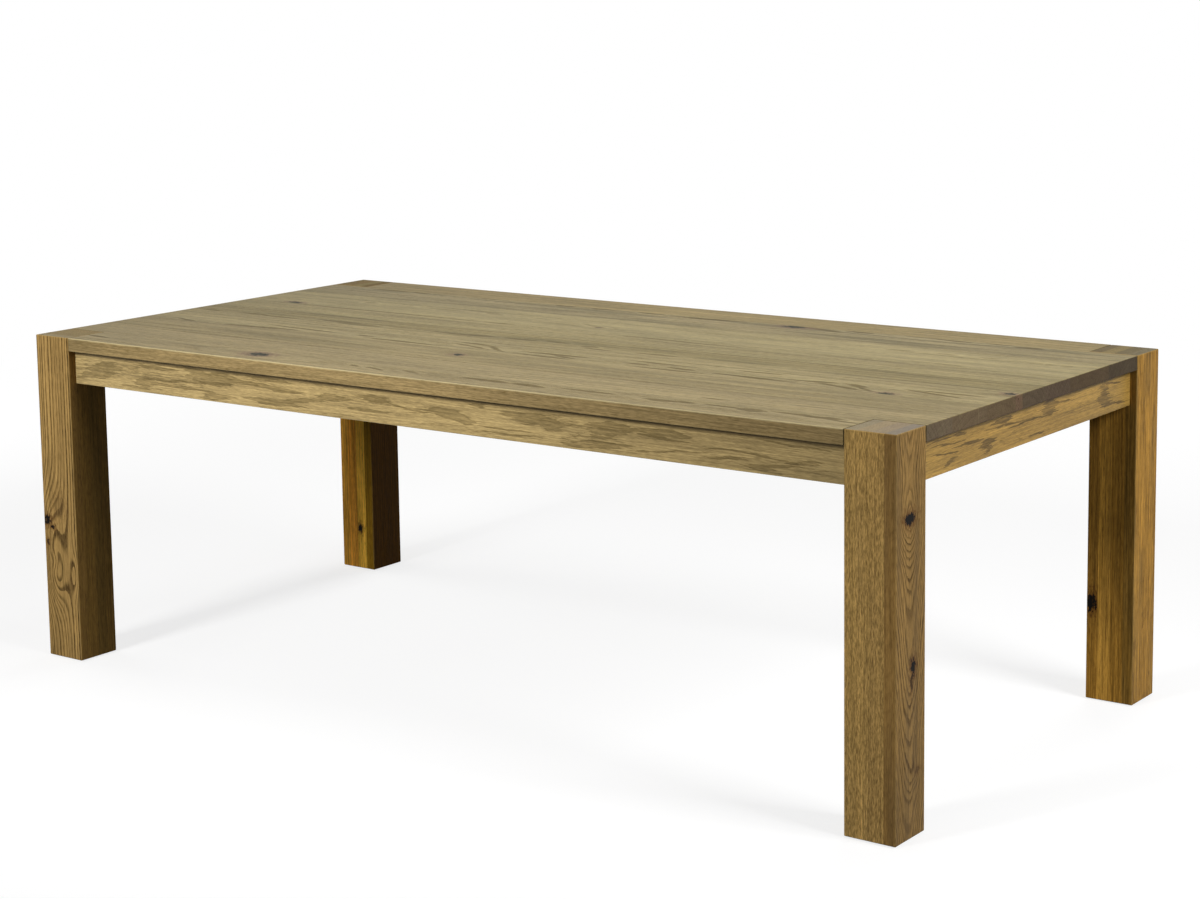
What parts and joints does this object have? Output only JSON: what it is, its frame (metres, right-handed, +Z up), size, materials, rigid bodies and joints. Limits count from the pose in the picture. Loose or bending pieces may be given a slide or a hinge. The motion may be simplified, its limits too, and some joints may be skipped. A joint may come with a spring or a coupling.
{
  "type": "parsons dining table",
  "caption": "Parsons dining table in knotty oak: a glued plank top flush with square laminated corner legs, set-back aprons and bolted steel corner brackets underneath.",
  "frame": {"origin": "on the floor, under the middle of the top", "axes": "+X along the table's length, to the right seen from the front; -Y to the front; +Z up"},
  "size_m": [2.2, 1.1, 0.74],
  "materials": {
    "oak_top": "oiled knotty oak, tan with an olive grey stain, satin",
    "oak_leg": "oiled knotty oak, warm brown, satin",
    "oak_apron": "oiled flat sawn oak, golden tan with grey brown figure, satin",
    "oak_bearer": "planed oak, lightly oiled, matt",
    "beech_button": "bare planed beech, matt",
    "zinc_steel": "bright zinc plated steel",
    "nylon_glide": "moulded brown nylon, matt"
  },
  "bodies": {
    "root": {"apron_back": "oak_apron", "apron_front": "oak_apron", "apron_left": "oak_apron", "apron_right": "oak_apron", "bearer_left": "oak_bearer", "bearer_middle": "oak_bearer", "bearer_right": "oak_bearer", "bearer_screws": "zinc_steel", "bolt_nuts": "zinc_steel", "bolt_washers": "zinc_steel", "bracket_screws": "zinc_steel", "button_screws": "zinc_steel", "buttons_back": "beech_button", "buttons_front": "beech_button", "buttons_left": "beech_button", "buttons_right": "beech_button", "corner_bracket_back_left": "zinc_steel", "corner_bracket_back_right": "zinc_steel", "corner_bracket_front_left": "zinc_steel", "corner_bracket_front_right": "zinc_steel", "hanger_bolts": "zinc_steel", "leg_back_left_glide": "nylon_glide", "leg_back_left_stave_1": "oak_leg", "leg_back_left_stave_2": "oak_leg", "leg_back_left_stave_3": "oak_leg", "leg_back_left_stave_4": "oak_leg", "leg_back_right_glide": "nylon_glide", "leg_back_right_stave_1": "oak_leg", "leg_back_right_stave_2": "oak_leg", "leg_back_right_stave_3": "oak_leg", "leg_back_right_stave_4": "oak_leg", "leg_front_left_glide": "nylon_glide", "leg_front_left_stave_1": "oak_leg", "leg_front_left_stave_2": "oak_leg", "leg_front_left_stave_3": "oak_leg", "leg_front_left_stave_4": "oak_leg", "leg_front_right_glide": "nylon_glide", "leg_front_right_stave_1": "oak_leg", "leg_front_right_stave_2": "oak_leg", "leg_front_right_stave_3": "oak_leg", "leg_front_right_stave_4": "oak_leg", "top_board_1": "oak_top", "top_board_2": "oak_top", "top_board_3": "oak_top", "top_board_4": "oak_top", "top_board_5": "oak_top", "top_board_6": "oak_top", "top_board_7": "oak_top", "top_board_8": "oak_top"}
  },
  "joints": []
}
